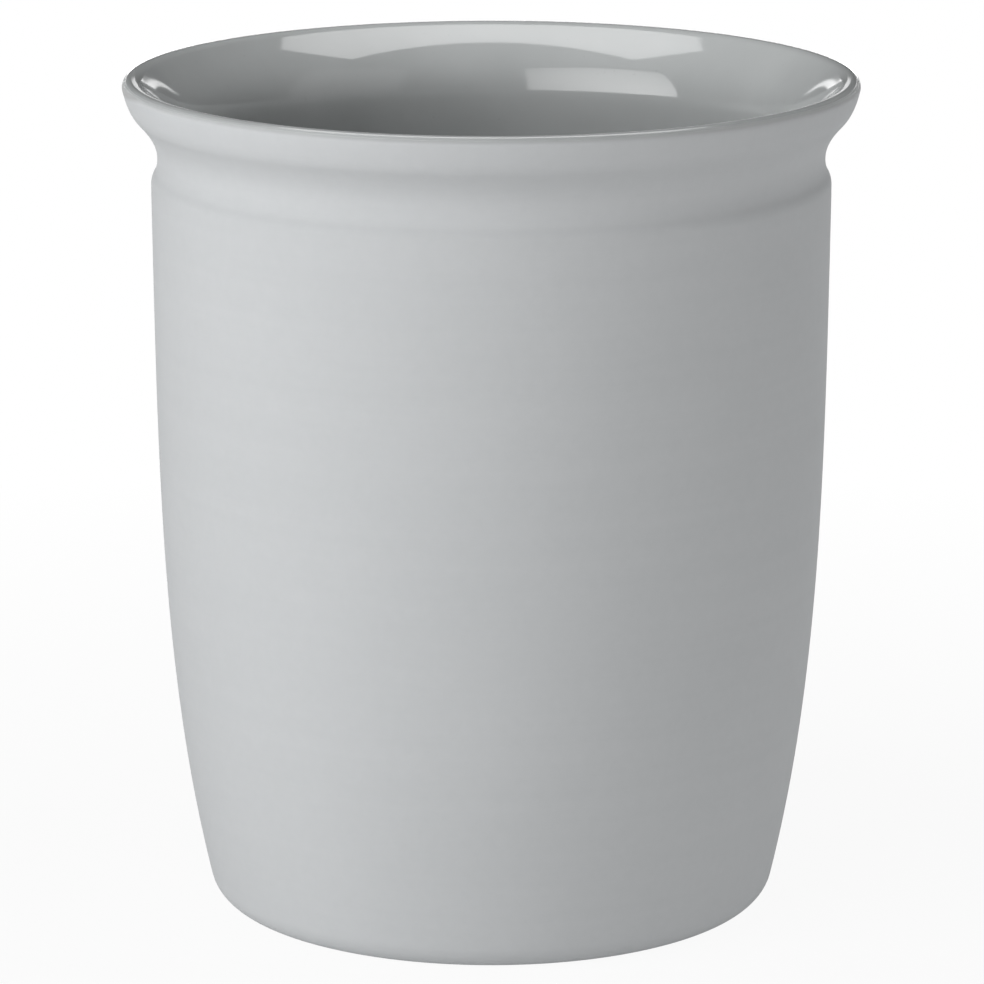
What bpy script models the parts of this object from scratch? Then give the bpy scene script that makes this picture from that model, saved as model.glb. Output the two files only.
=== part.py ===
"""Preserving jar of stoneware: a fired clay body, bare outside, with a coat of glaze inside it.

The jar is turned, so each of its two pieces is one outline swept once round the upright axis.
Lengths are metres. A heading is in degrees: 0 is up, 90 outwards, 180 down and 270 inwards.
"""

import math

import bpy

# Overall form, read off the jar's silhouette. The neck is everything above the shoulder
HEIGHT = 0.17815
NECK_HEIGHT = 0.02515
SHOULDER_RADIUS = 0.07166
SEGMENTS = 64

# Body wall: how far it draws in from shoulder to foot, part of it evenly and part near the foot
EVEN_DRAW_IN = 0.00165
FOOT_DRAW_IN = 0.01074
FOOT_CURVE = 3.45
WALL_THICKNESS = 0.005

# Foot: rounded outer edge, flat ring to stand on, shallow recess inside the ring
BASE_ROUND = 0.007
FOOT_RING_WIDTH = 0.0075
RECESS_EASE = 0.0022
RECESS_SLOPE = 52.0
FLOOR_HEIGHT = 0.0085
INSIDE_CORNER = 0.014

# Shoulder edge above an upright band, and the groove under the lip, where a cover is tied on.
# Each drop is measured down from the rim
SHOULDER_BAND = 0.00261
SHOULDER_EDGE_ROUND = 0.0045
SHOULDER_EDGE_TURN = 30.5
GROOVE_DEPTH = 0.00136
GROOVE_DROP = 0.01698

# Flared lip: it reaches out past the groove, its underside is steepest at the flank, and its edge
# is a round bead a little further out
FLARE_REACH = 0.0042
FLANK_DROP = 0.00852
FLARE = 43.7
BEAD_REACH = 0.00124
LIP_ROUND = 0.00177
LIP_SIDE_LEAN = 13.9

# Inside of the neck: the throat is its narrowest place, and from there the mouth flares to the bead
THROAT_EASE = 0.014
THROAT_DROP = 0.01615
THROAT_WALL = 0.0045
MOUTH_FLARE = 43.3
MOUTH_PULL = 0.38

# Glaze coat, and the clearance that keeps it a body of its own
GLAZE_THICKNESS = 0.0005
GLAZE_CLEARANCE = 0.0003

# How finely the outline is divided
WALL_STEPS = 6
ROUND_STEPS = 5
EASE_STEPS = 3
MOUTH_STEPS = 6
LIP_STEPS = 6

# Share of a curve's length given to each of its end directions
CURVE_PULL = 0.35
# Small height difference used to measure the wall's lean, and rounds of refining a tangent point
LEAN_PROBE = 0.0002
TANGENT_ROUNDS = 20

# Places (radius, height) that follow from these sizes
SHOULDER_HEIGHT = HEIGHT - NECK_HEIGHT
SHOULDER_TOP = (SHOULDER_RADIUS, SHOULDER_HEIGHT + SHOULDER_BAND)
GROOVE = (SHOULDER_RADIUS - GROOVE_DEPTH, HEIGHT - GROOVE_DROP)
FLANK = (GROOVE[0] + FLARE_REACH, HEIGHT - FLANK_DROP)
BEAD_CENTRE = (FLANK[0] + BEAD_REACH, HEIGHT - LIP_ROUND)
THROAT = (GROOVE[0] - THROAT_WALL, HEIGHT - THROAT_DROP)

CLAY_COLOUR = (0.45, 0.46, 0.47, 1.0)
CLAY_ROUGHNESS = 0.85
GLAZE_COLOUR = (0.30, 0.31, 0.31, 1.0)
GLAZE_ROUGHNESS = 0.12


def ahead(heading):
    """Unit step (radius, height) along a heading."""
    angle = math.radians(heading)
    return math.sin(angle), math.cos(angle)


def moved(point, heading, distance):
    """The point reached from another by going a distance along a heading."""
    out, up = ahead(heading)
    return point[0] + out * distance, point[1] + up * distance


def arc(centre, radius, start, end, steps):
    """Points round a centre while the heading changes from start to end."""
    side = -90.0 if end > start else 90.0
    turns = [start + (end - start) * i / steps for i in range(steps + 1)]
    return [moved(centre, turn + side, radius) for turn in turns]


def curve(start, start_heading, end, end_heading, steps, pull=CURVE_PULL):
    """Smooth curve that leaves and arrives along given headings."""
    reach = math.dist(start, end) * pull
    leave = moved(start, start_heading, reach)
    arrive = moved(end, end_heading, -reach)
    points = []
    for i in range(steps + 1):
        t = i / steps
        s = 1.0 - t
        weights = (s * s * s, 3 * s * s * t, 3 * s * t * t, t * t * t)
        corners = (start, leave, arrive, end)
        points.append(tuple(sum(w * c[k] for w, c in zip(weights, corners)) for k in (0, 1)))
    return points


def joined(*runs):
    """One path from several runs that share their end points."""
    path = list(runs[0])
    for run in runs[1:]:
        path += run[1:]
    return path


def sunk(path, depth):
    """The same path set a depth to its right, which is into the clay. It starts on the axis."""
    result = [(0.0, path[0][1] - depth)]
    for i in range(1, len(path)):
        before = path[i - 1]
        after = path[min(i + 1, len(path) - 1)]
        heading = math.degrees(math.atan2(after[0] - before[0], after[1] - before[1]))
        result.append(moved(path[i], heading + 90.0, depth))
    return result


def wall_radius(height):
    """Outer radius of the body wall at a height."""
    fall = 1.0 - height / SHOULDER_HEIGHT
    return SHOULDER_RADIUS - EVEN_DRAW_IN * fall - FOOT_DRAW_IN * max(fall, 0.0) ** FOOT_CURVE


def wall_lean(height):
    """Lean of the body wall from upright at a height, outwards as it rises."""
    rise = wall_radius(height + LEAN_PROBE) - wall_radius(height - LEAN_PROBE)
    return math.degrees(math.atan2(rise, 2 * LEAN_PROBE))


def wall_run(bottom, top, inset):
    """Points up the body wall, set in from its outer face."""
    heights = [bottom + (top - bottom) * i / WALL_STEPS for i in range(WALL_STEPS + 1)]
    return [(wall_radius(h) - inset, h) for h in heights]


def round_meets_wall(floor, radius):
    """Height where a round that starts level at a floor becomes tangent to the leaning wall."""
    height = floor + radius
    for _ in range(TANGENT_ROUNDS):
        height = floor + radius * (1.0 - math.sin(math.radians(wall_lean(height))))
    return height


def inside_path():
    """From the middle of the floor out, up the inside, to the start of the lip's round."""
    meets = round_meets_wall(FLOOR_HEIGHT, INSIDE_CORNER)
    lean = wall_lean(meets)
    corner_radius = wall_radius(meets) - WALL_THICKNESS - INSIDE_CORNER * math.cos(math.radians(lean))
    centre = (corner_radius, FLOOR_HEIGHT + INSIDE_CORNER)
    corner = arc(centre, INSIDE_CORNER, 90.0, lean, ROUND_STEPS)
    wall = wall_run(meets, THROAT[1] - THROAT_EASE, WALL_THICKNESS)
    into_throat = curve(wall[-1], 0.0, THROAT, 0.0, EASE_STEPS)
    bead_start = lip_round(MOUTH_FLARE, 180.0, 1)[0]
    mouth = curve(THROAT, 0.0, bead_start, MOUTH_FLARE, MOUTH_STEPS, MOUTH_PULL)
    return [(0.0, FLOOR_HEIGHT)] + joined(corner, wall, into_throat, mouth)


def lip_round(start, end, steps):
    """Part of the bead at the lip's edge, between two headings."""
    return arc(BEAD_CENTRE, LIP_ROUND, start, end, steps)


def glazed_path():
    """Everything the glaze covers: the inside, and the lip out to its widest point."""
    inside = inside_path()
    return joined(inside, lip_round(MOUTH_FLARE, 180.0, LIP_STEPS))


def bare_path():
    """The outside from just under the glaze line down to the foot's standing ring."""
    side = 180.0 + LIP_SIDE_LEAN
    edge = lip_round(180.0, side, 1)[-1]
    under_lip = curve(edge, side, FLANK, 180.0 + FLARE, ROUND_STEPS)
    into_groove = curve(FLANK, 180.0 + FLARE, GROOVE, 180.0, ROUND_STEPS)
    centre = moved(SHOULDER_TOP, 270.0, SHOULDER_EDGE_ROUND)
    slope = 180.0 - SHOULDER_EDGE_TURN
    shoulder = arc(centre, SHOULDER_EDGE_ROUND, slope, 180.0, EASE_STEPS)
    out_of_groove = curve(GROOVE, 180.0, shoulder[0], slope, EASE_STEPS)
    return joined(under_lip, into_groove, out_of_groove, shoulder, wall_down(), base_path())


def wall_down():
    """The outer wall, from the shoulder edge down to the round at the base."""
    foot = round_meets_wall(0.0, BASE_ROUND)
    down = wall_run(foot, SHOULDER_HEIGHT, 0.0)[::-1]
    return [SHOULDER_TOP] + down


def base_path():
    """Rounded base edge, standing ring and the shallow recess inside it, ending on the axis."""
    foot = round_meets_wall(0.0, BASE_ROUND)
    lean = wall_lean(foot)
    radius = wall_radius(foot) - BASE_ROUND * math.cos(math.radians(lean))
    corner = arc((radius, BASE_ROUND), BASE_ROUND, 180.0 + lean, 270.0, ROUND_STEPS)
    ring_inner = radius - FOOT_RING_WIDTH
    climb = 270.0 + RECESS_SLOPE
    lift = arc((ring_inner, RECESS_EASE), RECESS_EASE, 270.0, climb, EASE_STEPS)
    run = 2 * RECESS_EASE * math.sin(math.radians(RECESS_SLOPE))
    ceiling = 2 * RECESS_EASE * (1.0 - math.cos(math.radians(RECESS_SLOPE)))
    settle_centre = (ring_inner - run, ceiling - RECESS_EASE)
    settle = arc(settle_centre, RECESS_EASE, climb, 270.0, EASE_STEPS)
    return corner + joined(lift, settle) + [(0.0, ceiling)]


def body_outline():
    """Clay outline. Under the glaze it is set back by the coat and its clearance."""
    under_glaze = sunk(glazed_path() + bare_path()[:1], GLAZE_THICKNESS + GLAZE_CLEARANCE)
    return under_glaze + bare_path()


def glaze_outline():
    """Glaze outline: its visible face, then back along the face that lies against the clay."""
    face = glazed_path()
    return face + sunk(face, GLAZE_THICKNESS)[::-1]


def plain_material(name, colour, roughness):
    """A plain shader with one colour and one roughness."""
    material = bpy.data.materials.new(name)
    material.use_nodes = True
    shader = material.node_tree.nodes["Principled BSDF"]
    shader.inputs["Base Color"].default_value = colour
    shader.inputs["Roughness"].default_value = roughness
    material.diffuse_color = colour
    return material


def turned(name, outline, collection, material):
    """A solid of revolution from an outline that starts and ends on the axis."""
    mesh = bpy.data.meshes.new(name)
    points = [(radius, 0.0, height) for radius, height in outline]
    mesh.from_pydata(points, [(i, i + 1) for i in range(len(points) - 1)], [])
    piece = bpy.data.objects.new(name, mesh)
    piece.data.materials.append(material)
    collection.objects.link(piece)
    screw = piece.modifiers.new("Turn", "SCREW")
    screw.axis = "Z"
    screw.angle = math.tau
    screw.steps = SEGMENTS
    screw.render_steps = SEGMENTS
    screw.use_merge_vertices = True
    screw.merge_threshold = GLAZE_CLEARANCE / 10
    screw.use_smooth_shade = True
    return piece


def clear_scene():
    """Remove whatever a new file starts with."""
    for thing in list(bpy.data.objects):
        bpy.data.objects.remove(thing, do_unlink=True)


def main():
    """Build the jar."""
    clear_scene()
    jar = bpy.data.collections.new("preserving_jar")
    bpy.context.scene.collection.children.link(jar)
    clay = plain_material("bare_stoneware", CLAY_COLOUR, CLAY_ROUGHNESS)
    glaze = plain_material("grey_glaze", GLAZE_COLOUR, GLAZE_ROUGHNESS)
    turned("stoneware_body", body_outline(), jar, clay)
    turned("glaze_lining", glaze_outline(), jar, glaze)


main()
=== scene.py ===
# %% [markdown]
# # An open stoneware preserving jar
#
# A jar like this is one lump of clay, formed on a turning wheel and fired. Its outside stays bare and matte.
# The inside and the top of the lip carry a coat of grey glaze. There is no lid: a cover of paper or cloth is
# tied into the groove under the lip.
#
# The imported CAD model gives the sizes. This notebook turns the same jar again with a much finer outline,
# gives the two materials their finish, and sets up the floor, the lamps and the camera.

import math

import bpy
from mathutils import Matrix, Vector


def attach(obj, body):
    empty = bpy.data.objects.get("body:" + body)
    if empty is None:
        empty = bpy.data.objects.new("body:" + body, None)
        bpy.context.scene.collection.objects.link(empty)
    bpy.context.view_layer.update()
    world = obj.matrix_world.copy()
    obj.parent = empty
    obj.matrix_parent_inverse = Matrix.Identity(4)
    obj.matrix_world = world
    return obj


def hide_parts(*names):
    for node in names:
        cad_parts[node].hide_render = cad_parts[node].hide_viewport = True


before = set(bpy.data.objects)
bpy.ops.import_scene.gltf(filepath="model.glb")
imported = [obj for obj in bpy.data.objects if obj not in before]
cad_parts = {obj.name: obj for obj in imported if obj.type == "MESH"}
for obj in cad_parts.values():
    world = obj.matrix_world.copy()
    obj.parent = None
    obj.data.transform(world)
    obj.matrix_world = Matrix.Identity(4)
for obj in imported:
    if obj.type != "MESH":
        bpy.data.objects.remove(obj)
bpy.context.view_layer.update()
print("CAD nodes:", sorted(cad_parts))

# %% [markdown]
# ## The sizes
#
# All lengths are metres, and they are the ones that the CAD source names. An outline is drawn in a half
# plane, with the distance from the upright axis first and the height second. The outer wall draws in from
# the shoulder to the foot, partly evenly and partly in a curve that quickens near the foot.

# %% Sizes of the jar
HEIGHT = 0.17815
NECK_HEIGHT = 0.02515
SHOULDER_RADIUS = 0.07166
EVEN_DRAW_IN = 0.00165
FOOT_DRAW_IN = 0.01074
FOOT_CURVE = 3.45
WALL_THICKNESS = 0.005

BASE_ROUND = 0.007
FOOT_RING_WIDTH = 0.0075
RECESS_EASE = 0.0022
RECESS_SLOPE = 52.0
FLOOR_HEIGHT = 0.0085
INSIDE_CORNER = 0.014

SHOULDER_BAND = 0.00261
SHOULDER_EDGE_ROUND = 0.0045
SHOULDER_EDGE_TURN = 30.5
GROOVE_DEPTH = 0.00136
GROOVE_DROP = 0.01698

FLARE_REACH = 0.0042
FLANK_DROP = 0.00852
FLARE = 43.7
BEAD_REACH = 0.00124
LIP_ROUND = 0.00177
LIP_SIDE_LEAN = 13.9

THROAT_EASE = 0.014
THROAT_DROP = 0.01615
THROAT_WALL = 0.0045
MOUTH_FLARE = 43.3
MOUTH_PULL = 0.38
print("jar, mm high:", round(1000 * HEIGHT, 1))

# %% [markdown]
# A few places follow from these sizes. Each is a radius and a height: where the shoulder's edge starts, the
# bottom of the groove, the steepest place under the lip, the middle of the lip's bead, and the throat.

# %% Places on the outline
SHOULDER_HEIGHT = HEIGHT - NECK_HEIGHT
SHOULDER_TOP = (SHOULDER_RADIUS, SHOULDER_HEIGHT + SHOULDER_BAND)
GROOVE = (SHOULDER_RADIUS - GROOVE_DEPTH, HEIGHT - GROOVE_DROP)
FLANK = (GROOVE[0] + FLARE_REACH, HEIGHT - FLANK_DROP)
BEAD_CENTRE = (FLANK[0] + BEAD_REACH, HEIGHT - LIP_ROUND)
THROAT = (GROOVE[0] - THROAT_WALL, HEIGHT - THROAT_DROP)
print("lip, mm across:", round(2000 * (BEAD_CENTRE[0] + LIP_ROUND), 1))
print("throat, mm across:", round(2000 * THROAT[0], 1))

# %% [markdown]
# ## A pen for outlines
#
# A lathe hand thinks of an outline as a walk: straight on, round a corner, into a hollow. A heading says
# which way the walk goes, in degrees: 0 is up, 90 outwards, 180 down and 270 inwards. Arcs make the true
# rounds, and a cubic curve joins two points along given headings, so that runs meet without a kink.

# %% The pen
CURVE_PULL = 0.35


def ahead(heading):
    """Unit step (radius, height) along a heading."""
    angle = math.radians(heading)
    return math.sin(angle), math.cos(angle)


def moved(point, heading, distance):
    """The point reached by going a distance along a heading."""
    out, up = ahead(heading)
    return point[0] + out * distance, point[1] + up * distance


def arc(centre, radius, start, end, steps):
    """Points round a centre while the heading changes from start to end."""
    side = -90.0 if end > start else 90.0
    turns = [start + (end - start) * i / steps for i in range(steps + 1)]
    return [moved(centre, turn + side, radius) for turn in turns]


def curve(start, start_heading, end, end_heading, steps, pull=CURVE_PULL):
    """Smooth curve that leaves and arrives along given headings."""
    reach = math.dist(start, end) * pull
    leave = moved(start, start_heading, reach)
    arrive = moved(end, end_heading, -reach)
    points = []
    for i in range(steps + 1):
        t = i / steps
        s = 1.0 - t
        weights = (s * s * s, 3 * s * s * t, 3 * s * t * t, t * t * t)
        corners = (start, leave, arrive, end)
        points.append(tuple(sum(w * c[k] for w, c in zip(weights, corners)) for k in (0, 1)))
    return points


def joined(*runs):
    """One path from several runs that share their end points."""
    path = list(runs[0])
    for run in runs[1:]:
        path += run[1:]
    return path


quarter = arc((0.0, 0.0), 1.0, 0.0, 90.0, 3)
print("a quarter round in three steps:", [(round(out, 2), round(up, 2)) for out, up in quarter])

# %% [markdown]
# The pen also has to step sideways. The clay under the glaze is the visible path set back by the thickness
# of the coat, and that depth may change along the way, which is how the clay comes back up to the surface
# where the glaze ends.

# %% Stepping sideways
def eased(share):
    """Smooth change from 0 to 1."""
    share = min(max(share, 0.0), 1.0)
    return share * share * (3.0 - 2.0 * share)


def sideways(path, depths):
    """The path moved to its right, which is into the clay, by one depth for each point."""
    result = []
    for i, point in enumerate(path):
        before = path[max(i - 1, 0)]
        after = path[min(i + 1, len(path) - 1)]
        heading = math.degrees(math.atan2(after[0] - before[0], after[1] - before[1]))
        result.append(moved(point, heading + 90.0, depths[i]))
    return result


print("a smooth change in four steps:", [round(eased(i / 4), 2) for i in range(5)])

# %% [markdown]
# ## The outer wall
#
# The wall is one formula. Where a round has to meet it, as at the foot, the meeting point is found by
# repeating a guess: the lean of the wall at a height says where a tangent round would touch, and a few
# rounds of this settle on the right height.

# %% The wall
LEAN_PROBE = 0.0002
TANGENT_ROUNDS = 20
WALL_STEPS = 40


def wall_radius(height):
    """Outer radius of the body wall at a height."""
    fall = 1.0 - height / SHOULDER_HEIGHT
    return SHOULDER_RADIUS - EVEN_DRAW_IN * fall - FOOT_DRAW_IN * max(fall, 0.0) ** FOOT_CURVE


def wall_lean(height):
    """Lean of the wall from upright at a height, outwards as it rises."""
    rise = wall_radius(height + LEAN_PROBE) - wall_radius(height - LEAN_PROBE)
    return math.degrees(math.atan2(rise, 2 * LEAN_PROBE))


def wall_run(bottom, top, inset):
    """Points up the wall, set in from its outer face."""
    heights = [bottom + (top - bottom) * i / WALL_STEPS for i in range(WALL_STEPS + 1)]
    return [(wall_radius(h) - inset, h) for h in heights]


def round_meets_wall(floor, radius):
    """Height where a round that starts level at a floor becomes tangent to the wall."""
    height = floor + radius
    for _ in range(TANGENT_ROUNDS):
        height = floor + radius * (1.0 - math.sin(math.radians(wall_lean(height))))
    return height


print("widest wall, mm:", round(2000 * wall_radius(SHOULDER_HEIGHT), 1))
print("wall at the foot, mm:", round(2000 * wall_radius(BASE_ROUND), 1))

# %% [markdown]
# ## The lip's bead
#
# The bead on top of the lip is a small round outside. Inside it is rounder, as the mirror images in the
# glaze tell, and both rounds have the lip's highest place in common. The flared mouth has to run into the
# rounder one without a kink, so its slope ends a little higher than it would under the small round. The
# glaze was wiped off the outside before the firing, so it ends in a line on the bead, above its widest
# place.

# %% The bead
GLAZE_LINE = 146.0
INNER_ROUND = 0.003
BEAD_STEPS = 18


def bead_inside():
    """The bead from the mouth's slope up to the highest place of the lip."""
    return arc((BEAD_CENTRE[0], HEIGHT - INNER_ROUND), INNER_ROUND, MOUTH_FLARE, 90.0, BEAD_STEPS)


def bead_outside(start, end, steps):
    """Part of the bead outside its highest place, between two headings."""
    return arc(BEAD_CENTRE, LIP_ROUND, start, end, steps)


def slope_end():
    """Where the mouth's slope would end at the small round, raised until it touches the rounder one."""
    out, up = moved(BEAD_CENTRE, MOUTH_FLARE - 90.0, LIP_ROUND)
    rise = (INNER_ROUND - LIP_ROUND) * (1.0 / math.cos(math.radians(90.0 - MOUTH_FLARE)) - 1.0)
    return out, up + rise


print("slope ends at a radius of, mm:", round(1000 * slope_end()[0], 2))
print("bead starts at a radius of, mm:", round(1000 * bead_inside()[0][0], 2))

# %% [markdown]
# ## The inside
#
# From the middle of the floor the path goes out, round a corner, up the wall, through the throat and out
# along the flared mouth. The rounder bead starts before the end of the slope, so the points beyond that
# place are left out.

# %% Inside
FLOOR_STEPS = 6
CORNER_STEPS = 14
THROAT_STEPS = 14
MOUTH_STEPS = 28


def inside_path():
    """From the middle of the floor up to where the bead of the lip starts."""
    meets = round_meets_wall(FLOOR_HEIGHT, INSIDE_CORNER)
    lean = wall_lean(meets)
    corner_radius = wall_radius(meets) - WALL_THICKNESS - INSIDE_CORNER * math.cos(math.radians(lean))
    floor = [(corner_radius * i / FLOOR_STEPS, FLOOR_HEIGHT) for i in range(FLOOR_STEPS + 1)]
    centre = (corner_radius, FLOOR_HEIGHT + INSIDE_CORNER)
    corner = arc(centre, INSIDE_CORNER, 90.0, lean, CORNER_STEPS)
    wall = wall_run(meets, THROAT[1] - THROAT_EASE, WALL_THICKNESS)
    into_throat = curve(wall[-1], 0.0, THROAT, 0.0, THROAT_STEPS)
    slope = curve(THROAT, 0.0, slope_end(), MOUTH_FLARE, MOUTH_STEPS, MOUTH_PULL)
    bead_start = bead_inside()[0][0]
    mouth = [point for point in slope if point[0] < bead_start]
    return joined(floor, corner, wall, into_throat, mouth)


def glazed_path():
    """Everything that shows glaze: the inside, and the lip out to the glaze line."""
    return inside_path() + joined(bead_inside(), bead_outside(90.0, GLAZE_LINE, BEAD_STEPS))


print("inside path points:", len(inside_path()), "glazed path points:", len(glazed_path()))

# %% [markdown]
# ## The outside
#
# From the glaze line the bare clay goes down the side of the lip, under the flare, into the groove, over the
# soft edge of the shoulder and down the wall. The base edge is rounded, and inside the flat ring that the
# jar stands on there is a shallow recess.

# %% Outside
LIP_SIDE_STEPS = 12
UNDER_LIP_STEPS = 14
GROOVE_STEPS = 16
SHOULDER_STEPS = 8
BASE_STEPS = 12
RECESS_STEPS = 8


def outside_path():
    """The bare clay, from the glaze line down to the base's round."""
    side = 180.0 + LIP_SIDE_LEAN
    lip_side = bead_outside(GLAZE_LINE, side, LIP_SIDE_STEPS)
    under_lip = curve(lip_side[-1], side, FLANK, 180.0 + FLARE, UNDER_LIP_STEPS)
    into_groove = curve(FLANK, 180.0 + FLARE, GROOVE, 180.0, GROOVE_STEPS)
    centre = moved(SHOULDER_TOP, 270.0, SHOULDER_EDGE_ROUND)
    slope = 180.0 - SHOULDER_EDGE_TURN
    shoulder = arc(centre, SHOULDER_EDGE_ROUND, slope, 180.0, SHOULDER_STEPS)
    out_of_groove = curve(GROOVE, 180.0, shoulder[0], slope, SHOULDER_STEPS)
    wall = wall_run(round_meets_wall(0.0, BASE_ROUND), SHOULDER_HEIGHT, 0.0)[::-1]
    return joined(lip_side, under_lip, into_groove, out_of_groove, shoulder) + wall


def base_path():
    """The rounded base edge, the standing ring and the recess, ending on the axis."""
    foot = round_meets_wall(0.0, BASE_ROUND)
    lean = wall_lean(foot)
    radius = wall_radius(foot) - BASE_ROUND * math.cos(math.radians(lean))
    corner = arc((radius, BASE_ROUND), BASE_ROUND, 180.0 + lean, 270.0, BASE_STEPS)
    ring_inner = radius - FOOT_RING_WIDTH
    climb = 270.0 + RECESS_SLOPE
    lift = arc((ring_inner, RECESS_EASE), RECESS_EASE, 270.0, climb, RECESS_STEPS)
    run = 2 * RECESS_EASE * math.sin(math.radians(RECESS_SLOPE))
    ceiling = 2 * RECESS_EASE * (1.0 - math.cos(math.radians(RECESS_SLOPE)))
    settle_centre = (ring_inner - run, ceiling - RECESS_EASE)
    settle = arc(settle_centre, RECESS_EASE, climb, 270.0, RECESS_STEPS)
    inner = settle[-1][0]
    middle = [(inner * (1.0 - i / FLOOR_STEPS), ceiling) for i in range(1, FLOOR_STEPS + 1)]
    return corner[1:] + joined(lift, settle) + middle


print("outside path points:", len(outside_path()) + len(base_path()))

# %% [markdown]
# ## Two outlines
#
# The clay and its glaze are separate pieces, because they are separate materials. The glaze's visible face
# is the jar's own face. At the glaze line its edge is a small round, about as deep as the coat, and behind
# it the glaze runs back along the clay. The clay lies a little below, and just under the glaze line it
# rises again to the jar's face, so the glaze stands out there by the small step that a finger can feel.
#
# Each hidden side starts on the axis. Its first point is written out, so that the middle closes exactly.

# %% Outlines of the clay and the glaze
GLAZE_THICKNESS = 0.00042
CLAY_UNDER_GLAZE = 0.0005
EDGE_STEP = 0.00005
CLAY_RISES_IN = 0.0012
EDGE_ROUND_STEPS = 5


def path_lengths(path):
    """Distance walked from the path's start to each of its points."""
    lengths = [0.0]
    for before, after in zip(path, path[1:]):
        lengths.append(lengths[-1] + math.dist(before, after))
    return lengths


def glaze_outline():
    """The glaze's face, its rounded edge, and back along the clay to the axis."""
    face = glazed_path()
    hidden = sideways(face, [GLAZE_THICKNESS] * len(face))
    centre = moved(face[-1], GLAZE_LINE + 90.0, GLAZE_THICKNESS / 2)
    edge = arc(centre, GLAZE_THICKNESS / 2, GLAZE_LINE, GLAZE_LINE + 180.0, EDGE_ROUND_STEPS)
    hidden[0] = (0.0, FLOOR_HEIGHT - GLAZE_THICKNESS)
    return face + edge[1:-1] + hidden[::-1]


def clay_outline():
    """The clay: hidden under the glaze, then bare from the glaze line down and in to the axis."""
    face = glazed_path()
    lengths = path_lengths(face)
    depths = []
    for length in lengths:
        near_line = eased(1.0 - (lengths[-1] - length) / CLAY_RISES_IN)
        depths.append(CLAY_UNDER_GLAZE + (EDGE_STEP - CLAY_UNDER_GLAZE) * near_line)
    hidden = sideways(face, depths)
    hidden[0] = (0.0, FLOOR_HEIGHT - CLAY_UNDER_GLAZE)
    bare = outside_path()
    steps = [EDGE_STEP * (1.0 - eased(length / CLAY_RISES_IN)) for length in path_lengths(bare)]
    return hidden + sideways(bare, steps)[1:] + base_path()


print("clay outline points:", len(clay_outline()), "glaze outline points:", len(glaze_outline()))

# %% [markdown]
# ## The turning wheel
#
# The real jar gets its shape because the clay turns while the profile stands still. The Geometry Nodes tree
# below works like that wheel. It takes the outline as a line of points and lays out a grid with one row for
# each step of the turn. Every grid point looks up its outline point by number and is turned round the axis.
# Merging by distance closes the seam and the two poles. Angles run backwards, so the faces look outwards.
#
# One thing isn't quite even on the real jar: the glaze was wiped off by hand, so its line wavers. Each
# outline point has a share, 1 at the line and 0 at both ends of the bead. The points move along the bead by
# their share, which keeps them on its surface.

# %% What goes into the wheel
TURN_STEPS = 256
SEAM_DISTANCE = 0.000002
WHEEL_INPUTS = {
    "Turn Steps": ("NodeSocketInt", TURN_STEPS),
    "Outline Points": ("NodeSocketInt", 2),
    "Seam Distance": ("NodeSocketFloat", SEAM_DISTANCE),
    "Waver Angle": ("NodeSocketFloat", 0.0),
    "Waver Scale": ("NodeSocketFloat", 1.0),
    "Waver Seed": ("NodeSocketFloat", 0.0),
    "Finish": ("NodeSocketMaterial", None),
}


def wheel_sockets(tree):
    """Declare what goes into the wheel and what comes out."""
    tree.interface.new_socket("Outline", in_out="INPUT", socket_type="NodeSocketGeometry")
    for label, (kind, value) in WHEEL_INPUTS.items():
        socket = tree.interface.new_socket(label, in_out="INPUT", socket_type=kind)
        if value is not None:
            socket.default_value = value
    tree.interface.new_socket("Turned Piece", in_out="OUTPUT", socket_type="NodeSocketGeometry")


print("inputs of the wheel:", ", ".join(WHEEL_INPUTS))

# %% [markdown]
# Trees of nodes get long when every node takes five lines. Three helpers keep them short: the first makes a
# node and wires it, the second does one sum, and the third passes the geometry through one more node. They
# serve the finishes further down as well.

# %% Helpers for nodes
def wired(tree, kind, links, **settings):
    """A new node with its settings, and its inputs linked or set by name or number."""
    node = tree.nodes.new(kind)
    for name, value in settings.items():
        setattr(node, name, value)
    for name, value in links.items():
        if isinstance(value, bpy.types.NodeSocket):
            tree.links.new(value, node.inputs[name])
        else:
            node.inputs[name].default_value = value
    return node


def calculated(tree, operation, *values):
    """The result of a Math node on one or two values."""
    return wired(tree, "ShaderNodeMath", dict(enumerate(values)), operation=operation).outputs[0]


def worked(tree, kind, geometry, links, **settings):
    """The geometry after one more node."""
    return wired(tree, kind, {"Geometry": geometry, **links}, **settings).outputs[0]


print("one step of the turn, degrees:", round(360.0 / TURN_STEPS, 2))

# %% [markdown]
# Working out the angle and the outline number of each grid point takes a little arithmetic. The grid counts
# its points row by row, so the number divided by the length of the outline, rounded down, says how far the
# turn has gone, and the remainder says which outline point it is.
#
# The waver is a cloudy noise, read along a circle, so it meets itself again after a full turn. Its middle
# value is a half, which is taken off, so that the line wavers both ways.

# %% Steps of the turn
WAVER_DETAIL = 2.0
NOISE_MIDDLE = 0.5


def turn_and_number(tree, given):
    """The angle of each grid point's row, and the number of its outline point."""
    index = wired(tree, "GeometryNodeInputIndex", {}).outputs[0]
    count = given.outputs["Outline Points"]
    row = calculated(tree, "FLOOR", calculated(tree, "DIVIDE", index, count))
    number = calculated(tree, "MODULO", index, count)
    share = calculated(tree, "DIVIDE", row, given.outputs["Turn Steps"])
    return calculated(tree, "MULTIPLY", share, -math.tau), number


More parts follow.
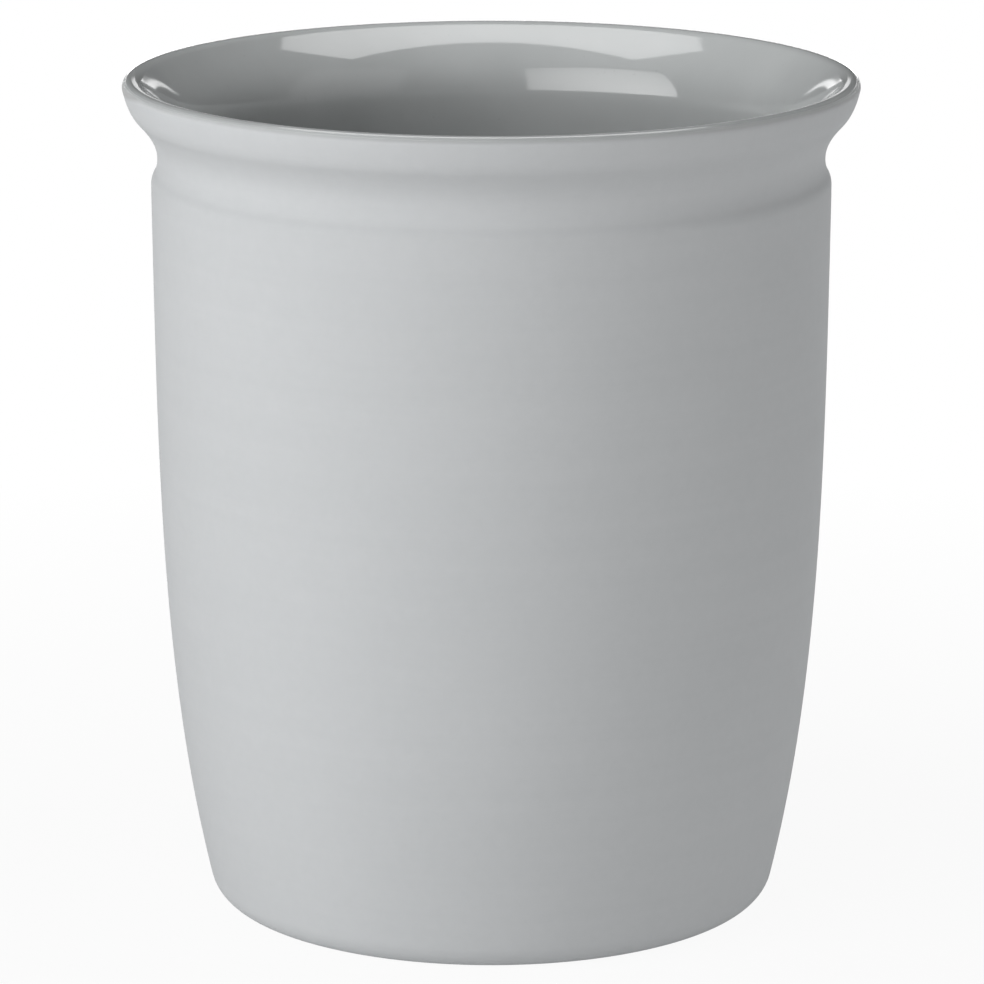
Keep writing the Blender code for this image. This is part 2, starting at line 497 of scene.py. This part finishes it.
def waver(tree, given, angle, share):
    """Angle by which the hand-wiped glaze line moves along the bead, different round the jar."""
    circle = {"X": calculated(tree, "COSINE", angle), "Y": calculated(tree, "SINE", angle)}
    links = {
        "Vector": wired(tree, "ShaderNodeCombineXYZ", circle).outputs[0],
        "W": given.outputs["Waver Seed"],
        "Scale": given.outputs["Waver Scale"],
        "Detail": WAVER_DETAIL,
    }
    cloud = wired(tree, "ShaderNodeTexNoise", links, noise_dimensions="4D").outputs[0]
    centred = calculated(tree, "SUBTRACT", cloud, NOISE_MIDDLE)
    sized = calculated(tree, "MULTIPLY", centred, given.outputs["Waver Angle"])
    return calculated(tree, "MULTIPLY", sized, share)


# %% [markdown]
# With these two the wheel itself is short: sample the outline, move the point along the bead, turn it, and
# close the result. The share is also written on the points that come out, because the glaze's finish reads
# there how near the line it is.

# %% The wheel
SHARE_NAME = "waver_share"
NEAR_LINE_NAME = "near_line"


def looked_up(tree, outline, value, number, data_type):
    """A value of the outline at a given point number."""
    links = {"Index": number, "Value": value}
    return worked(tree, "GeometryNodeSampleIndex", outline, links, data_type=data_type, domain="POINT")


def turned_place(tree, given, place, angle, share):
    """The place of a point after its slide along the bead and its turn round the axis."""
    centre = (BEAD_CENTRE[0], 0.0, BEAD_CENTRE[1])
    links = {"Vector": place, "Center": centre, "Angle": waver(tree, given, angle, share)}
    slid = wired(tree, "ShaderNodeVectorRotate", links, rotation_type="Y_AXIS").outputs[0]
    links = {"Vector": slid, "Angle": angle}
    return wired(tree, "ShaderNodeVectorRotate", links, rotation_type="Z_AXIS").outputs[0]


def turning_wheel():
    """The tree that turns an outline into a closed round piece."""
    tree = bpy.data.node_groups.new("Turning Wheel", "GeometryNodeTree")
    wheel_sockets(tree)
    given = tree.nodes.new("NodeGroupInput")
    outline = given.outputs["Outline"]
    rows = calculated(tree, "ADD", given.outputs["Turn Steps"], 1.0)
    counts = {"Vertices X": rows, "Vertices Y": given.outputs["Outline Points"]}
    shape = wired(tree, "GeometryNodeMeshGrid", counts).outputs["Mesh"]
    angle, number = turn_and_number(tree, given)
    position = wired(tree, "GeometryNodeInputPosition", {}).outputs[0]
    place = looked_up(tree, outline, position, number, "FLOAT_VECTOR")
    named = wired(tree, "GeometryNodeInputNamedAttribute", {"Name": SHARE_NAME}, data_type="FLOAT")
    share = looked_up(tree, outline, named.outputs["Attribute"], number, "FLOAT")
    links = {"Position": turned_place(tree, given, place, angle, share)}
    shape = worked(tree, "GeometryNodeSetPosition", shape, links)
    links = {"Name": NEAR_LINE_NAME, "Value": share}
    shape = worked(tree, "GeometryNodeStoreNamedAttribute", shape, links, data_type="FLOAT")
    links = {"Distance": given.outputs["Seam Distance"]}
    shape = worked(tree, "GeometryNodeMergeByDistance", shape, links)
    shape = worked(tree, "GeometryNodeSetShadeSmooth", shape, {})
    shape = worked(tree, "GeometryNodeRealizeInstances", shape, {})
    shape = worked(tree, "GeometryNodeSetMaterial", shape, {"Material": given.outputs["Finish"]})
    tree.links.new(shape, tree.nodes.new("NodeGroupOutput").inputs[0])
    return tree


wheel = turning_wheel()
print("the wheel has", len(wheel.nodes), "nodes")

# %% [markdown]
# ## Turning the pieces
#
# The outline goes in as a mesh of points and edges. The modifier's inputs are set by the identifiers of
# their sockets, then the evaluated result is kept as a plain mesh, and the modifier is gone. The piece's
# volume is measured, because a closed shape whose faces look outwards has a positive one.

# %% Helpers for turning
WAVER_DEGREES = 24.0
WAVER_SCALE = 2.2
WAVER_SEED = 3.0
ML_PER_CUBIC_METRE = 1e6


def outline_object(name, outline, shares):
    """The outline as an object with points, edges and the waver share of each point."""
    mesh = bpy.data.meshes.new(name + "_outline")
    points = [(radius, 0.0, height) for radius, height in outline]
    mesh.from_pydata(points, [(i, i + 1) for i in range(len(points) - 1)], [])
    attribute = mesh.attributes.new(SHARE_NAME, "FLOAT", "POINT")
    attribute.data.foreach_set("value", shares)
    form = bpy.data.objects.new(name + "_outline", mesh)
    bpy.context.scene.collection.objects.link(form)
    return form


def set_inputs(modifier, values):
    """Give the modifier's inputs their values by socket identifier."""
    for item in modifier.node_group.interface.items_tree:
        if item.in_out == "INPUT" and item.name in values:
            modifier[item.identifier] = values[item.name]


def volume(mesh):
    """Signed volume inside a closed mesh, in cubic metres."""
    mesh.calc_loop_triangles()
    corners = [vertex.co for vertex in mesh.vertices]
    triples = (tuple(corners[i] for i in face.vertices) for face in mesh.loop_triangles)
    return sum(a.dot(b.cross(c)) for a, b, c in triples) / 6.0


def turned_piece(name, outline, shares, finish):
    """A plain mesh object, turned on the wheel from an outline."""
    form = outline_object(name, outline, shares)
    modifier = form.modifiers.new("Wheel", "NODES")
    modifier.node_group = wheel
    values = {
        "Turn Steps": TURN_STEPS,
        "Outline Points": len(outline),
        "Waver Angle": math.radians(WAVER_DEGREES),
        "Waver Scale": WAVER_SCALE,
        "Waver Seed": WAVER_SEED,
        "Finish": finish,
    }
    set_inputs(modifier, values)
    graph = bpy.context.evaluated_depsgraph_get()
    mesh = bpy.data.meshes.new_from_object(form.evaluated_get(graph))
    mesh.name = name
    bpy.data.objects.remove(form, do_unlink=True)
    piece = bpy.data.objects.new(name, mesh)
    bpy.context.scene.collection.objects.link(piece)
    triangles = sum(len(face.vertices) - 2 for face in mesh.polygons)
    print(name, "triangles:", triangles, "volume, ml:", round(volume(mesh) * ML_PER_CUBIC_METRE, 1))
    return piece


# %% [markdown]
# ## A box of shader tools
#
# Both finishes are built from a few kinds of node: noise for speckle and clouding, a mapping that stretches
# it, ramps that choose how much of it counts, and mixes. These helpers keep the recipes below readable.
# Everything reads Object coordinates, so a pattern stays on the jar wherever the camera stands. Most of a
# noise lies between 0.3 and 0.7, so a ramp over that range uses the whole of what it makes.

# %% Shader tools
NOISE_RANGE = (0.3, 0.7)
MIX_SHARE, MIX_FIRST, MIX_SECOND = 0, 6, 7
MIX_RESULT = 2


def shader_material(name):
    """A new node material with its Principled shader and its Object coordinates."""
    material = bpy.data.materials.new(name)
    material.use_nodes = True
    tree = material.node_tree
    shader = tree.nodes["Principled BSDF"]
    place = tree.nodes.new("ShaderNodeTexCoord").outputs["Object"]
    return material, tree, shader, place


def along(tree, place, axis):
    """One of the three coordinates of a place."""
    return wired(tree, "ShaderNodeSeparateXYZ", {"Vector": place}).outputs[axis]


def noise(tree, place, scale, detail=2.0, roughness=0.5):
    """A cloudy value from 0 to 1 with its mean near a half."""
    links = {"Vector": place, "Scale": scale, "Detail": detail, "Roughness": roughness}
    return wired(tree, "ShaderNodeTexNoise", links).outputs[0]


def ramped(tree, value, low, high, to_low=0.0, to_high=1.0):
    """A value stretched from one range to another, and held inside it."""
    links = {"Value": value, "From Min": low, "From Max": high, "To Min": to_low, "To Max": to_high}
    return wired(tree, "ShaderNodeMapRange", links).outputs[0]


def tinted(tree, share, first, second):
    """A colour between two others."""
    links = {MIX_SHARE: share, MIX_FIRST: first, MIX_SECOND: second}
    return wired(tree, "ShaderNodeMix", links, data_type="RGBA").outputs[MIX_RESULT]


def bumped(tree, height, distance, under=None):
    """A bump from a height, on top of another bump if there is one."""
    links = {"Height": height, "Distance": distance, "Strength": 1.0}
    if under is not None:
        links["Normal"] = under
    return wired(tree, "ShaderNodeBump", links).outputs[0]


print("noise is ramped from", NOISE_RANGE[0], "to", NOISE_RANGE[1])

# %% [markdown]
# ## The stain under the glaze line
#
# Below the glaze's edge a film of wiped glaze stains the clay grey. It ends at one height nearly all round.
# At the left and the right ends of the lip, as seen from the front, the same grey runs lower: that part is
# painted shade, the grey that the glossy lip shows there edge-on. Each run is how far the painted shade
# reaches down, and it grows between two shares of the lip's radius.

# %% The stain and the painted shade
STAIN_ENDS = 0.1771
STAIN_FADE = 0.0004
STAIN_WAVER = 0.0001
# Painted shade: how far the grey runs down at the lip's right and left ends, and where it grows.
SHADE_RUN_RIGHT = 0.0003
SHADE_RUN_RIGHT_BETWEEN = (0.8, 0.95)
SHADE_RUN_LEFT = 0.0013
SHADE_RUN_LEFT_BETWEEN = (-0.93, -0.98)


def stain_and_painted_shade(tree, place, clouds):
    """How much the stain, and painted shade at the lip's two ends, colour the lip's side, from 0 to 1."""
    side = along(tree, place, "X")
    lip_radius = BEAD_CENTRE[0] + LIP_ROUND
    right_from, right_to = (lip_radius * share for share in SHADE_RUN_RIGHT_BETWEEN)
    left_from, left_to = (lip_radius * share for share in SHADE_RUN_LEFT_BETWEEN)
    right = ramped(tree, side, right_from, right_to, to_high=SHADE_RUN_RIGHT)
    left = ramped(tree, side, left_from, left_to, to_high=SHADE_RUN_LEFT)
    uneven = ramped(tree, clouds, *NOISE_RANGE, -STAIN_WAVER, STAIN_WAVER)
    runs = calculated(tree, "ADD", calculated(tree, "ADD", right, left), uneven)
    reached = calculated(tree, "ADD", along(tree, place, "Z"), runs)
    above = calculated(tree, "SUBTRACT", reached, STAIN_ENDS)
    return ramped(tree, above, -STAIN_FADE, STAIN_FADE)


print("the stain ends, mm under the lip's top:", round(1000 * (HEIGHT - STAIN_ENDS), 2))

# %% [markdown]
# ## Bare stoneware
#
# Fired clay without glaze is matte and slightly grainy. Close up it shows a fine speckle, from a little off
# it a soft clouding, and very faint level streaks, where the profile tool slid along the turning wall. The
# standing ring is rubbed smoother and a little lighter, because it slides on shelves.
#
# A scale says how fine a noise is: about that many clouds to a metre. A weight says how much a noise counts
# in the colour, and a rise is the height of a bump in metres.

# %% The clay's finish
CLAY_LIGHT = (0.4935, 0.5045, 0.513, 1.0)
CLAY_DARK = (0.4635, 0.4765, 0.485, 1.0)
CLAY_RUBBED = (0.53, 0.535, 0.54, 1.0)
# The stain's grey, also used as painted shade at the lip's two ends.
CLAY_STAIN_AND_SHADE = (0.385, 0.391, 0.391, 1.0)
CLAY_ROUGHNESS = (0.86, 0.94)
CLAY_SPECULAR = 0.3
CLOUD_SCALE, CLOUD_WEIGHT = 28.0, 0.3
GRAIN_SCALE, GRAIN_WEIGHT = 420.0, 0.4
STREAK_STRETCH, STREAK_WEIGHT = (7.0, 7.0, 330.0), 0.3
GRIT_SCALE = 1400.0
STREAK_RISE = 0.00003
GRAIN_RISE = 0.00003
GRIT_RISE = 0.00001
RUBBED_BELOW = 0.00045
RUBBED_FULLY = 0.0001
RUBBED_SMOOTHER = 0.2


def bare_stoneware():
    """Matte fired clay with grain, clouding and faint level streaks."""
    material, tree, shader, place = shader_material("bare_stoneware_finish")
    clouds = noise(tree, place, CLOUD_SCALE, detail=3.0)
    grain = noise(tree, place, GRAIN_SCALE, detail=3.0, roughness=0.6)
    stretched = wired(tree, "ShaderNodeMapping", {"Vector": place, "Scale": STREAK_STRETCH})
    streaks = noise(tree, stretched.outputs[0], scale=1.0, detail=3.0, roughness=0.6)
    share = calculated(tree, "MULTIPLY", clouds, CLOUD_WEIGHT)
    for part, weight in ((grain, GRAIN_WEIGHT), (streaks, STREAK_WEIGHT)):
        share = calculated(tree, "ADD", share, calculated(tree, "MULTIPLY", part, weight))
    colour = tinted(tree, ramped(tree, share, *NOISE_RANGE), CLAY_DARK, CLAY_LIGHT)
    rubbed = ramped(tree, along(tree, place, "Z"), RUBBED_BELOW, RUBBED_FULLY)
    colour = tinted(tree, rubbed, colour, CLAY_RUBBED)
    # The stain, and painted shade at the lip's left and right ends.
    colour = tinted(tree, stain_and_painted_shade(tree, place, clouds), colour, CLAY_STAIN_AND_SHADE)
    tree.links.new(colour, shader.inputs["Base Color"])
    roughness = ramped(tree, grain, *NOISE_RANGE, *CLAY_ROUGHNESS)
    smoother = calculated(tree, "MULTIPLY", rubbed, RUBBED_SMOOTHER)
    tree.links.new(calculated(tree, "SUBTRACT", roughness, smoother), shader.inputs["Roughness"])
    bump = bumped(tree, streaks, STREAK_RISE)
    bump = bumped(tree, grain, GRAIN_RISE, bump)
    bump = bumped(tree, noise(tree, place, GRIT_SCALE), GRIT_RISE, bump)
    tree.links.new(bump, shader.inputs["Normal"])
    shader.inputs["Specular IOR Level"].default_value = CLAY_SPECULAR
    return material


clay_finish = bare_stoneware()
print("clay finish nodes:", len(clay_finish.node_tree.nodes))

# %% [markdown]
# ## Grey glaze
#
# The glaze is glass melted onto the clay: darker than the clay, glossy, and never perfectly flat. It has a
# slow ripple that bends reflections a little, and it pools darker in the corner of the floor. Towards its
# line on the lip it was wiped thin, so there it loses its gloss: the wheel has written on each point how
# near the line it lies. Tiny specks show only from close by.

# %% The glaze's finish
GLAZE_LIGHT = (0.416, 0.43, 0.431, 1.0)
GLAZE_DARK = (0.389, 0.403, 0.404, 1.0)
GLAZE_POOLED = (0.34, 0.347, 0.35, 1.0)
GLAZE_ROUGHNESS = (0.05, 0.08)
GLAZE_IOR = 1.56
TINT_SCALE, TINT_RANGE = 45.0, (0.35, 0.65)
POOL_BELOW, POOL_FULLY, POOL_WEIGHT = 0.03, 0.009, 0.6
SPECK_SCALE, SPECK_RANGE, SPECK_WEIGHT = 900.0, (0.72, 0.8), 0.35
GLOSS_SCALE = 160.0
RIPPLE_SCALE, RIPPLE_RISE = 70.0, 0.000002
PEEL_SCALE, PEEL_RISE = 520.0, 0.0000002
THIN_FROM = 0.7
THIN_ROUGHNESS = 0.5


def grey_glaze():
    """Glossy glaze with a slow ripple, slight clouding and fine specks."""
    material, tree, shader, place = shader_material("grey_glaze_finish")
    clouds = ramped(tree, noise(tree, place, TINT_SCALE, detail=3.0), *TINT_RANGE)
    colour = tinted(tree, clouds, GLAZE_DARK, GLAZE_LIGHT)
    pooled = ramped(tree, along(tree, place, "Z"), POOL_BELOW, POOL_FULLY)
    specks = ramped(tree, noise(tree, place, SPECK_SCALE, detail=1.0), *SPECK_RANGE)
    for darker, weight in ((pooled, POOL_WEIGHT), (specks, SPECK_WEIGHT)):
        colour = tinted(tree, calculated(tree, "MULTIPLY", darker, weight), colour, GLAZE_POOLED)
    tree.links.new(colour, shader.inputs["Base Color"])
    gloss = noise(tree, place, GLOSS_SCALE, detail=3.0)
    roughness = ramped(tree, gloss, *NOISE_RANGE, *GLAZE_ROUGHNESS)
    near_line = wired(tree, "ShaderNodeAttribute", {}, attribute_name=NEAR_LINE_NAME).outputs["Fac"]
    worn = ramped(tree, near_line, THIN_FROM, 1.0, to_high=THIN_ROUGHNESS)
    tree.links.new(calculated(tree, "ADD", roughness, worn), shader.inputs["Roughness"])
    bump = bumped(tree, noise(tree, place, RIPPLE_SCALE), RIPPLE_RISE)
    bump = bumped(tree, noise(tree, place, PEEL_SCALE), PEEL_RISE, bump)
    tree.links.new(bump, shader.inputs["Normal"])
    shader.inputs["IOR"].default_value = GLAZE_IOR
    return material


glaze_finish = grey_glaze()
print("glaze finish nodes:", len(glaze_finish.node_tree.nodes))

# %% [markdown]
# ## The clay body
#
# The clay body is turned first. The wheel and the profile tool keep it true. Only the small step where the
# clay comes up to the surface follows the wavering line: a point's share grows along the bead to 1 at the
# line and falls to 0 again at the bead's lower end, so nothing below the lip moves.

# %% Turn the clay body
SHARE_STARTS = 85.0
BEAD_MARGIN = 1.1


def bead_heading(radius, height):
    """Heading of a walk along the bead at a point of it."""
    return 180.0 - math.degrees(math.atan2(height - BEAD_CENTRE[1], radius - BEAD_CENTRE[0]))


def line_share(radius, height, deepest):
    """How far a point follows the waver of the glaze line: 1 at the line, 0 off the bead."""
    off = math.dist((radius, height), BEAD_CENTRE)
    if off > LIP_ROUND * BEAD_MARGIN or off < LIP_ROUND - BEAD_MARGIN * deepest:
        return 0.0
    heading = bead_heading(radius, height)
    if heading <= GLAZE_LINE:
        return eased((heading - SHARE_STARTS) / (GLAZE_LINE - SHARE_STARTS))
    lowest = 180.0 + LIP_SIDE_LEAN
    return max((lowest - heading) / (lowest - GLAZE_LINE), 0.0)


clay_points = clay_outline()
clay_shares = [line_share(radius, height, CLAY_UNDER_GLAZE) for radius, height in clay_points]
clay_body = turned_piece("clay_body", clay_points, clay_shares, clay_finish)
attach(clay_body, "root")
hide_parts("stoneware_body")

# %% [markdown]
# ## The glaze coat
#
# The glaze follows the same waver. The hidden side of the coat has the same shares as its face, and its
# rounded edge moves along as one, so the edge keeps its thickness.

# %% Turn the glaze coat
def glaze_share(radius, height):
    """The share of a point of the coat, which stays at 1 round the coat's edge."""
    share = line_share(radius, height, GLAZE_THICKNESS)
    return 1.0 if share > 0.0 and bead_heading(radius, height) > GLAZE_LINE else share


glaze_points = glaze_outline()
glaze_shares = [glaze_share(radius, height) for radius, height in glaze_points]
glaze_coat = turned_piece("glaze_coat", glaze_points, glaze_shares, glaze_finish)
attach(glaze_coat, "root")
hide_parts("glaze_lining")

# %% [markdown]
# ## The floor
#
# The photograph has a white ground. Here the floor is a pale sheet that scatters light as paper does. Seen
# directly, most of its look is an even white glow instead, so it stays white without more light on the jar,
# and a soft trace of the jar's shadow is left. The glow is a little weaker near the jar, where the shadow
# falls. Mirrored in the glaze the floor glows less: the real lip shows that the ground was grey before the
# picture was printed on white.

# %% Look of the floor
WHITE = (1.0, 1.0, 1.0, 1.0)
NEAR_WHITE = 0.93
FADE_START = 0.12
FADE_END = 0.4
MIRRORED_WHITE = 0.3
LEAST_GLOW = 0.2
FIBRE_SCALE = 90.0
PAPER_GREYS = (0.79, 0.81)


def seen_share(tree, mirrored):
    """1 for rays from the camera or through glass, a given value in mirror images, else 0."""
    path = tree.nodes.new("ShaderNodeLightPath")
    glossy = calculated(tree, "MULTIPLY", path.outputs["Is Glossy Ray"], mirrored)
    seen = calculated(tree, "MAXIMUM", path.outputs["Is Camera Ray"], glossy)
    return calculated(tree, "MAXIMUM", seen, path.outputs["Is Transmission Ray"])


def floor_material():
    """Paper-like floor that looks white and keeps a soft shadow."""
    material = bpy.data.materials.new("pale_floor")
    material.use_nodes = True
    tree = material.node_tree
    tree.nodes.clear()
    place = tree.nodes.new("ShaderNodeTexCoord").outputs["Object"]
    fibre = ramped(tree, noise(tree, place, FIBRE_SCALE, detail=3.0), *NOISE_RANGE, *PAPER_GREYS)
    paper = wired(tree, "ShaderNodeBsdfDiffuse", {"Color": fibre})
    glow = wired(tree, "ShaderNodeEmission", {"Color": WHITE, "Strength": 1.0})
    apart = wired(tree, "ShaderNodeVectorMath", {"Vector": place}, operation="LENGTH").outputs["Value"]
    white = ramped(tree, apart, FADE_START, FADE_END, to_low=NEAR_WHITE)
    share = calculated(tree, "MULTIPLY", seen_share(tree, MIRRORED_WHITE), white)
    share = calculated(tree, "MAXIMUM", share, LEAST_GLOW)
    mix = wired(tree, "ShaderNodeMixShader", {0: share, 1: paper.outputs[0], 2: glow.outputs[0]})
    result = tree.nodes.new("ShaderNodeOutputMaterial")
    tree.links.new(mix.outputs[0], result.inputs["Surface"])
    return material


# %% Floor
FLOOR_RADIUS = 4.0
FLOOR_SIDES = 96


def floor_disc():
    """A large flat disc under the jar."""
    angles = [math.tau * i / FLOOR_SIDES for i in range(FLOOR_SIDES)]
    rim = [(FLOOR_RADIUS * math.cos(a), FLOOR_RADIUS * math.sin(a), 0.0) for a in angles]
    mesh = bpy.data.meshes.new("floor")
    mesh.from_pydata(rim, [], [tuple(range(FLOOR_SIDES))])
    mesh.materials.append(floor_material())
    disc = bpy.data.objects.new("floor", mesh)
    bpy.context.scene.collection.objects.link(disc)
    return disc


floor = floor_disc()
print("floor, m across:", 2 * FLOOR_RADIUS)

# %% [markdown]
# ## The room
#
# The camera sees white wherever the floor ends. Mirror images are another matter: the room behind the jar
# is dim, but the glaze shows a bright arch in it, low behind the jar and rising to both sides, and a bright
# opening in the middle. The bright hooks at the left and right ends of the lip are mirror images of the
# arch, seen at a grazing angle, and the fine bright line along the lip's edge is one of the opening.
#
# Places in the room are given by the direction in which they are seen: how far to the side, how far back
# and how high. A fade is a share of the size that it softens.

# %% The arch and the opening behind the jar
ARCH_STARTS = 0.07
ARCH_LEVELS_OFF = 0.4
ARCH_ENDS = 0.5
ARCH_TOP = 0.2
ARCH_HALF_WIDTH = 0.011
ARCH_EDGE = 0.003
ARCH_STRENGTH = 1.9
DOOR_HALF_WIDTH = 0.04
DOOR_BOTTOM = 0.03
DOOR_TOP = 0.15
DOOR_FADE = 0.2
DOOR_TOP_FADE = 0.1
DOOR_STRENGTH = 1.1
BACK_FADE = 0.1


def arch_glow(tree, aside, height):
    """Strength of the bright arch in one direction."""
    links = {"Value": aside, "From Min": ARCH_STARTS, "From Max": ARCH_LEVELS_OFF, "To Max": ARCH_TOP}
    rise = wired(tree, "ShaderNodeMapRange", links, interpolation_type="SMOOTHSTEP").outputs[0]
    off = calculated(tree, "ABSOLUTE", calculated(tree, "SUBTRACT", height, rise))
    band = ramped(tree, off, ARCH_HALF_WIDTH + ARCH_EDGE, ARCH_HALF_WIDTH - ARCH_EDGE)
    fading = ramped(tree, aside, ARCH_ENDS, ARCH_LEVELS_OFF)
    return calculated(tree, "MULTIPLY", calculated(tree, "MULTIPLY", band, fading), ARCH_STRENGTH)


def door_glow(tree, aside, height):
    """Strength of the bright opening in one direction."""
    outer = DOOR_HALF_WIDTH * (1.0 + DOOR_FADE)
    inner = DOOR_HALF_WIDTH * (1.0 - DOOR_FADE)
    across = ramped(tree, aside, outer, inner, to_high=DOOR_STRENGTH)
    top = ramped(tree, height, DOOR_TOP * (1.0 + DOOR_TOP_FADE), DOOR_TOP * (1.0 - DOOR_TOP_FADE))
    bottom = ramped(tree, height, DOOR_BOTTOM * (1.0 - DOOR_FADE), DOOR_BOTTOM * (1.0 + DOOR_FADE))
    return calculated(tree, "MULTIPLY", calculated(tree, "MULTIPLY", across, top), bottom)


def glow_behind(tree):
    """Strength of the arch and the opening behind the jar, 0 elsewhere."""
    direction = tree.nodes.new("ShaderNodeTexCoord").outputs["Generated"]
    aside = calculated(tree, "ABSOLUTE", along(tree, direction, "X"))
    height = along(tree, direction, "Z")
    behind = ramped(tree, along(tree, direction, "Y"), 0.0, BACK_FADE)
    glow = calculated(tree, "MAXIMUM", arch_glow(tree, aside, height), door_glow(tree, aside, height))
    return calculated(tree, "MULTIPLY", glow, behind)


# %% Room
ROOM_LIGHT = 0.03


def studio_world():
    """A world that looks white, mirrors the arch and the opening, and lights the jar as a dim room."""
    world = bpy.data.worlds.new("studio")
    bpy.context.scene.world = world
    world.use_nodes = True
    tree = world.node_tree
    background = tree.nodes["Background"]
    background.inputs["Color"].default_value = WHITE
    white = seen_share(tree, glow_behind(tree))
    tree.links.new(calculated(tree, "MAXIMUM", white, ROOM_LIGHT), background.inputs["Strength"])


studio_world()
print("room light:", ROOM_LIGHT)

# %% [markdown]
# ## Lamps
#
# Three softboxes light the jar, and the glazed mouth shows where they stand, because it mirrors them. A
# large one stands in front on the left, a weaker one in front on the right, and a third lies flat over the
# mouth. Low strips on the right and behind stand lower than the lip, so that the glaze can't mirror them:
# they light the wall from below, as the pale ground of a real studio does.

# %% Softboxes
RIGHT = Vector((1.0, 0.0, 0.0))
BACK = Vector((0.0, 1.0, 0.0))
UP = Vector((0.0, 0.0, 1.0))
STAND_DISTANCE = 1.0


def softbox(name, centre, across, upright, width, height, radiance):
    """A rectangular lamp with its width along one direction and its height along another."""
    lamp = bpy.data.lights.new(name, "AREA")
    lamp.shape = "RECTANGLE"
    lamp.size = width
    lamp.size_y = height
    lamp.energy = radiance * math.pi * width * height
    light = bpy.data.objects.new(name, lamp)
    turn = Matrix((across, upright, across.cross(upright))).transposed()
    light.matrix_world = Matrix.Translation(centre) @ turn.to_4x4()
    light.visible_camera = False
    bpy.context.scene.collection.objects.link(light)
    print(name, "centre", [round(c, 2) for c in centre], "size", round(width, 2), round(height, 2))
    return light


def standing_softbox(name, azimuth, left, right, bottom, top, radiance):
    """An upright softbox: its azimuth from the camera to the right, and its edges along its own plane."""
    angle = math.radians(azimuth)
    out = Vector((math.sin(angle), -math.cos(angle), 0.0))
    across = Vector((math.cos(angle), math.sin(angle), 0.0))
    middle = out * STAND_DISTANCE + across * ((left + right) / 2)
    centre = middle + Vector((0.0, 0.0, (bottom + top) / 2))
    return softbox(name, centre, across, UP, right - left, top - bottom, radiance)


def flat_softbox(name, height, left, right, front, back, radiance):
    """A level softbox that shines down: its height and its edges as seen from above."""
    centre = Vector(((left + right) / 2, (front + back) / 2, height))
    return softbox(name, centre, RIGHT, BACK, right - left, back - front, radiance)


# %% [markdown]
# The cloth of a softbox is brightest in front of its bulb and dimmer towards the edges. The lamp's own
# Parametric coordinate runs from 0 to 1 across it and from 0 to 1 up it, so the distance from the bright
# spot in that coordinate can dim the light.

# %% Uneven cloth
def dim_away_from(light, across, up, loss):
    """Leave a softbox at full strength at one spot, and let it lose a share with distance from there."""
    light.data.use_nodes = True
    tree = light.data.node_tree
    place = tree.nodes.new("ShaderNodeNewGeometry").outputs["Parametric"]
    links = {0: place, 1: (across, up, 0.0)}
    apart = wired(tree, "ShaderNodeVectorMath", links, operation="DISTANCE").outputs["Value"]
    glow = ramped(tree, apart, 0.0, 1.0, to_low=1.0, to_high=1.0 - loss)
    tree.links.new(glow, tree.nodes["Emission"].inputs["Strength"])
    print(light.name, "loses up to", loss, "of its strength away from", (across, up))


# %% [markdown]
# The standing boxes reach from just over the floor to well above the jar. The flat one hangs low over the
# back half of the mouth.

# %% Place the softboxes
KEY = {"azimuth": -37.0, "left": -0.81, "right": 0.424, "bottom": 0.03, "top": 1.12, "radiance": 5.72}
FILL = {"azimuth": 62.0, "left": -0.488, "right": 0.404, "bottom": 0.03, "top": 1.09, "radiance": 0.48}
OVERHEAD = {"height": 0.4, "left": -0.146, "right": 0.142, "front": -0.008, "back": 0.116, "radiance": 4.5}

key = standing_softbox("key_softbox", **KEY)
dim_away_from(key, across=0.33, up=0.18, loss=0.8)
standing_softbox("fill_softbox", **FILL)
overhead = flat_softbox("overhead_softbox", **OVERHEAD)
dim_away_from(overhead, across=0.5, up=0.2, loss=0.4)

# %% Place the low strips
STRIP_HEIGHTS = {"bottom": 0.02, "top": 0.165}

standing_softbox("right_strip", azimuth=80.0, left=-0.4, right=0.4, radiance=8.0, **STRIP_HEIGHTS)
standing_softbox("back_strip", azimuth=180.0, left=-0.7, right=0.7, radiance=5.0, **STRIP_HEIGHTS)

# %% [markdown]
# ## The camera
#
# The rim, the shoulder line and the base show as ellipses, and their flatness gives the camera's height and
# distance: about 1.2 m in front, 0.37 m up, looking down a little, through a long lens.

# %% Camera
CAMERA_PLACE = (0.0, -1.1917, 0.3707)
CAMERA_PITCH = 13.34
LENS = 209.67
SENSOR_WIDTH = 36.0
SHIFT = 0.00066

camera_data = bpy.data.cameras.new("camera")
camera_data.lens = LENS
camera_data.sensor_width = SENSOR_WIDTH
camera_data.shift_x = SHIFT
camera = bpy.data.objects.new("camera", camera_data)
camera.location = CAMERA_PLACE
camera.rotation_euler = (math.radians(90.0 - CAMERA_PITCH), 0.0, 0.0)
bpy.context.scene.collection.objects.link(camera)
bpy.context.scene.camera = camera
print("angle of view, degrees:", round(math.degrees(camera_data.angle), 2))

# %% [markdown]
# ## Finish
#
# Colours are shown plainly, without a film look.

# %% Finish
bpy.context.scene.view_settings.view_transform = "Standard"
